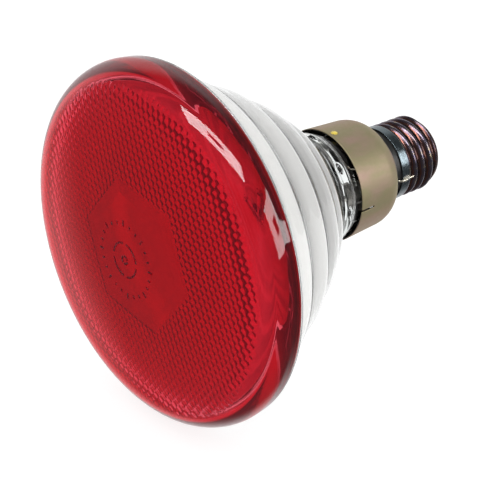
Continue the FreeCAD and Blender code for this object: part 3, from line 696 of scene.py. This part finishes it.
def clear_glass():
    n = Nodes("clear_glass")
    n.set(Base_Color=(1, 1, 1, 1), Transmission_Weight=1.0, IOR=1.49)
    n.roughness(150, 0.0, 0.05, detail=3, start=0.35)
    n.bump(n.noise(45, 3), 0.06, 0.0006)
    n.absorb((0.80, 0.88, 0.86), 12)
    return n.material


def painted_shade_stops(reach):
    """Colour stops over reach mm of depth, for painted shade: each band is dark at its start and light at
    its end.
    """
    edges = [SEAM_DEPTH] + [ring for ring, height in RING_STEPS] + [FLOOR_DEPTH]
    stops = []
    for start, end, (dark, light) in zip(edges, edges[1:], PAINTED_BAND_SHADES):
        length = end - start
        middle = dark + 0.6 * (light - dark)
        for depth, tone in ((start + 0.9, dark), (start + 0.9 + 0.14 * length, 1.1 * dark),
                            (start + 0.42 * length, middle), (end + 0.3, light)):
            stops.append(((depth - SEAM_DEPTH) / reach, (tone, 0.99 * tone, 0.97 * tone)))
    return stops


def mirror():
    """Bright inside. Outside, painted shade: the tones follow the bands between the ring steps."""
    n = Nodes("mirror_film")
    n.set(Metallic=1.0)
    reach = 60
    bright = n.ramp(n.noise(30, 4), ((0.35, (0.84, 0.85, 0.85)), (0.65, (0.92, 0.93, 0.93))))
    # painted shade: grey bands on the film's outside, dark just behind each ring step and lighter towards
    # the next
    bands = n.ramp(n.span(n.depth(), SEAM_DEPTH, SEAM_DEPTH + reach), painted_shade_stops(reach))
    n.feed(n.mix(n.facing_axis(), bands, bright), "Base Color")
    n.roughness(400, 0.28, 0.38)
    n.bump(n.noise(700, 4), 0.08, 0.0002)
    return n.material


def passivated_steel():
    """Patchy olive and pinkish brown, with painted shade on the lip and inside, yellow in the dimples."""
    n = Nodes("passivated_steel")
    n.set(Metallic=0.5)
    patches = n.noise(60, 4, 0.6, (1, 0.45, 1))
    tone = n.ramp(patches, ((0.30, (0.37, 0.25, 0.19)), (0.45, (0.33, 0.255, 0.155)),
                            (0.56, (0.30, 0.26, 0.145)), (0.70, (0.38, 0.26, 0.20))))
    # painted shade: the narrow lip at the back of the skirt turns grey brown
    lip = n.span(n.depth(), 101.6, 102.8)
    tone = n.mix(lip, tone, (0.22, 0.18, 0.16))
    # painted shade: faces towards the axis, inside the skirt, are nearly black
    tone = n.mix(n.facing_axis(), tone, (0.035, 0.025, 0.022))
    tone = n.mix(n.punched(), tone, (0.75, 0.62, 0.12))
    n.feed(tone, "Base Color")
    n.roughness(900, 0.46, 0.6)
    n.bump(n.noise(1500, 4, 0.6, (1, 0.3, 1)), 0.12, 0.0002)
    return n.material


def tinted_shell():
    """Dark tints from heating that follow a blotchy noise, with painted highlight on the thread's crests
    and painted shade in its roots, and a grey band.
    """
    n = Nodes("tinted_shell")
    n.set(Metallic=1.0)
    # painted highlight and shade: the share from root to crest lifts the crests towards light gold and
    # leaves the roots dark
    crest = n.span(n.axis_radius(), 12.2, 13.1)
    blotch = n.noise(240, 4, 0.6, (1, 0.5, 1))
    heat_tint_and_crest_light = n.math("ADD", n.math("MULTIPLY", crest, 0.45), n.math("MULTIPLY", blotch, 0.62))
    tone = n.ramp(heat_tint_and_crest_light, ((0.20, (0.030, 0.022, 0.030)), (0.34, (0.085, 0.045, 0.040)),
                         (0.45, (0.17, 0.065, 0.042)), (0.54, (0.070, 0.062, 0.105)),
                         (0.63, (0.16, 0.11, 0.10)), (0.74, (0.12, 0.11, 0.17)),
                         (0.86, (0.40, 0.32, 0.20))))
    band = n.span(n.depth(), THREAD_START_DEPTH + 0.9, THREAD_START_DEPTH - 0.3)
    n.feed(n.mix(band, tone, (0.13, 0.16, 0.175)), "Base Color")
    n.roughness(700, 0.14, 0.32)
    n.bump(n.noise(1200, 3), 0.15, 0.0002)
    return n.material


def plain_metal(name, tone, worn, low, high, scale=300):
    """A metal between two tones, with roughness between low and high."""
    n = Nodes(name)
    n.set(Metallic=1.0)
    n.feed(n.ramp(n.noise(scale, 4), ((0.35, tone), (0.68, worn))), "Base Color")
    n.roughness(scale * 3, low, high)
    n.bump(n.noise(scale * 4, 3), 0.15, 0.0002)
    return n.material


def black_insulator(name, gloss):
    n = Nodes(name)
    tone = n.ramp(n.noise(260, 4), ((0.35, (0.008, 0.008, 0.009)), (0.7, (0.022, 0.021, 0.02))))
    n.feed(tone, "Base Color")
    n.roughness(800, gloss, gloss + 0.15)
    n.bump(n.noise(900, 3), 0.1, 0.0002)
    return n.material


def fibre():
    n = Nodes("glass_fibre")
    weave = n.add("ShaderNodeTexWave")
    weave.inputs["Scale"].default_value = 900
    weave.inputs["Distortion"].default_value = 1.5
    n.link(n.coords, weave.inputs["Vector"])
    tone = n.ramp(weave.outputs["Fac"], ((0.2, (0.55, 0.53, 0.47)), (0.8, (0.80, 0.78, 0.72))))
    n.feed(tone, "Base Color")
    n.set(Roughness=0.8)
    n.bump(weave.outputs["Fac"], 0.4, 0.0002)
    return n.material


def mark_ink():
    """Dark red ink, worn through in places."""
    n = Nodes("mark_ink")
    tone = n.ramp(n.noise(700, 4), ((0.4, (0.030, 0.004, 0.010)), (0.7, (0.055, 0.006, 0.014))))
    n.feed(tone, "Base Color")
    n.feed(n.span(n.noise(900, 4), 0.38, 0.62, 0.3, 0.7), "Alpha")
    n.set(Roughness=0.45)
    return n.material


def dress(piece, material):
    piece.data.materials.clear()
    piece.data.materials.append(material)


# Stage -------------------------------------------------------------------------------------
def direction(azimuth, elevation):
    """Unit vector from the lamp towards a place at this azimuth and elevation."""
    a = math.radians(azimuth)
    e = math.radians(elevation)
    return Vector((math.sin(a) * math.cos(e), -math.cos(a) * math.cos(e), math.sin(e)))


def camera():
    data = bpy.data.cameras.new("camera")
    data.lens = FOCAL_LENGTH
    data.sensor_width = SENSOR_WIDTH
    data.clip_start = 0.01
    view = bpy.data.objects.new("camera", data)
    view.location = AIM + DISTANCE * direction(AZIMUTH, ELEVATION)
    view.rotation_euler = (AIM - view.location).to_track_quat("-Z", "Y").to_euler()
    bpy.context.scene.collection.objects.link(view)
    bpy.context.scene.camera = view


def softbox(name, azimuth, elevation, distance, size, strength, opening):
    """A soft white panel that shows only in reflections. Its middle, a share opening, is dark."""
    place = CENTRE + distance * direction(azimuth, elevation)
    turn = (CENTRE - place).to_track_quat("-Z", "Y").to_matrix()
    points = []
    for scale in (1.0, opening):
        for across, up in ((-1, -1), (1, -1), (1, 1), (-1, 1)):
            corner = Vector((across * scale * size[0] / 2, up * scale * size[1] / 2, 0))
            points.append(tuple(place + turn @ corner))
    faces = [(k, (k + 1) % 4, 4 + (k + 1) % 4, 4 + k) for k in range(4)]
    panel = new_mesh(name, points, faces)
    n = Nodes(name)
    n.set(Base_Color=(0, 0, 0, 1), Emission_Color=(1, 1, 1, 1), Emission_Strength=strength)
    dress(panel, n.material)
    panel.visible_camera = False
    panel.visible_diffuse = False
    panel.visible_transmission = False
    panel.visible_shadow = False


def studio():
    """Even white light. Reflections see a room instead: bright towards SWEEP, dimmer elsewhere."""
    scene = bpy.context.scene
    scene.view_settings.view_transform = "Standard"
    world = bpy.data.worlds.new("studio")
    world.use_nodes = True
    world.cycles.sampling_method = "NONE"
    scene.world = world
    tree = world.node_tree

    def calculate(operation, a, b):
        node = tree.nodes.new("ShaderNodeMath")
        node.operation = operation
        for socket, value in zip(node.inputs, (a, b)):
            if isinstance(value, float):
                socket.default_value = value
            else:
                tree.links.new(value, socket)
        return node.outputs["Value"]

    coords = tree.nodes.new("ShaderNodeTexCoord")
    aim = tree.nodes.new("ShaderNodeVectorMath")
    aim.operation = "DOT_PRODUCT"
    aim.inputs[1].default_value = Vector(SWEEP).normalized()
    tree.links.new(coords.outputs["Generated"], aim.inputs[0])
    room = tree.nodes.new("ShaderNodeMapRange")
    room.interpolation_type = "SMOOTHSTEP"
    names = ("From Min", "From Max", "To Min", "To Max")
    for key, value in zip(names, (0.33, 0.70, ROOM_LIGHT, SWEEP_LIGHT)):
        room.inputs[key].default_value = value
    tree.links.new(aim.outputs["Value"], room.inputs["Value"])
    path = tree.nodes.new("ShaderNodeLightPath")
    mirrored = calculate("GREATER_THAN", path.outputs["Glossy Depth"], 0.5)
    shallow = calculate("LESS_THAN", path.outputs["Transmission Depth"], 2.5)
    direct = calculate("LESS_THAN", path.outputs["Diffuse Depth"], 0.5)
    chosen = calculate("MULTIPLY", calculate("MULTIPLY", mirrored, shallow), direct)
    light = tree.nodes.new("ShaderNodeMix")
    light.data_type = "FLOAT"
    light.inputs[2].default_value = FILL_LIGHT
    tree.links.new(chosen, light.inputs[0])
    tree.links.new(room.outputs["Result"], light.inputs[3])
    background = tree.nodes["Background"]
    tree.links.new(light.outputs[0], background.inputs["Strength"])
    background.inputs["Color"].default_value = (1, 1, 1, 1)
    softbox("overhead", 26, 64, 1.1, (1.15, 0.34), 11.0, 0.25)
    softbox("side", 117, 20, 1.2, (0.86, 0.62), 6.0, 0.3)


def floor():
    """A pale floor. It glows a little, so that the lamp throws almost no shadow."""
    z = CAD_BOX[0][2] - FLOOR_DROP
    corners = [(x * FLOOR_HALF, y * FLOOR_HALF, z) for x, y in ((-1, -1), (1, -1), (1, 1), (-1, 1))]
    plane = new_mesh("floor", corners, [(0, 1, 2, 3)])
    n = Nodes("floor")
    n.feed(n.ramp(n.noise(3, 2), ((0.3, (0.32, 0.32, 0.32)), (0.7, (0.36, 0.36, 0.36)))), "Base Color")
    n.set(Roughness=0.9, Specular_IOR_Level=0.0)
    n.set(Emission_Color=(1, 1, 1, 1), Emission_Strength=0.80)
    dress(plane, n.material)
    plane.visible_glossy = False


# Assembly ----------------------------------------------------------------------------------
def add_piece(piece, node, material):
    """Puts a piece on the lamp. node is the CAD node it stands for, if there is one."""
    dress(piece, material)
    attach(piece, "root")
    if node:
        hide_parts(node)


def dress_cad_nodes():
    """Gives every CAD node whose shape is kept its material."""
    nickel = plain_metal("nickel", (0.55, 0.54, 0.50), (0.66, 0.65, 0.61), 0.2, 0.35)
    solder = plain_metal("solder", (0.52, 0.52, 0.50), (0.72, 0.72, 0.69), 0.22, 0.4, 500)
    wire = plain_metal("tinned_wire", (0.62, 0.57, 0.46), (0.76, 0.72, 0.60), 0.2, 0.3, 400)
    alloy = plain_metal("sealing_alloy", (0.30, 0.29, 0.27), (0.45, 0.43, 0.40), 0.3, 0.5)
    filler = plain_metal("filler_metal", (0.55, 0.40, 0.20), (0.70, 0.56, 0.33), 0.25, 0.4)
    tungsten = plain_metal("tungsten", (0.16, 0.16, 0.17), (0.26, 0.26, 0.27), 0.3, 0.4, 900)
    molybdenum = plain_metal("molybdenum", (0.26, 0.26, 0.27), (0.38, 0.38, 0.38), 0.25, 0.4, 700)
    brass = plain_metal("contact_brass", (0.52, 0.43, 0.24), (0.68, 0.60, 0.38), 0.15, 0.3)
    dressed = (
        (clear_glass(), ("exhaust_tip", "bridge_bead")),
        (alloy, ("ferrule_live", "ferrule_neutral")),
        (filler, ("ferrule_brazes",)),
        (nickel, ("lead_post_live", "lead_post_neutral", "filament_clamps")),
        (tungsten, ("filament_coil",)),
        (molybdenum, ("filament_anchor",)),
        (black_insulator("black_moulding", 0.35), ("insulator_ring",)),
        (black_insulator("black_glass", 0.12), ("contact_insulator",)),
        (brass, ("centre_contact",)),
        (solder, ("centre_solder", "side_solder", "ferrule_solders")),
        (wire, ("side_wire", "centre_wires", "fuse_link")),
        (fibre(), ("fuse_sleeve",)),
    )
    for material, names in dressed:
        for name in names:
            dress(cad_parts[name], material)


dress_cad_nodes()
add_piece(front_lens(), "front_lens", red_glass())
add_piece(reflector_bowl(), "reflector_glass", clear_glass())
add_piece(mirror_film(), "reflector_coating", mirror())
add_piece(cap_skirt(), "cap_skirt", passivated_steel())
add_piece(screw_shell(), "screw_shell", tinted_shell())
add_piece(lens_mark(), None, mark_ink())

floor()
studio()
camera()
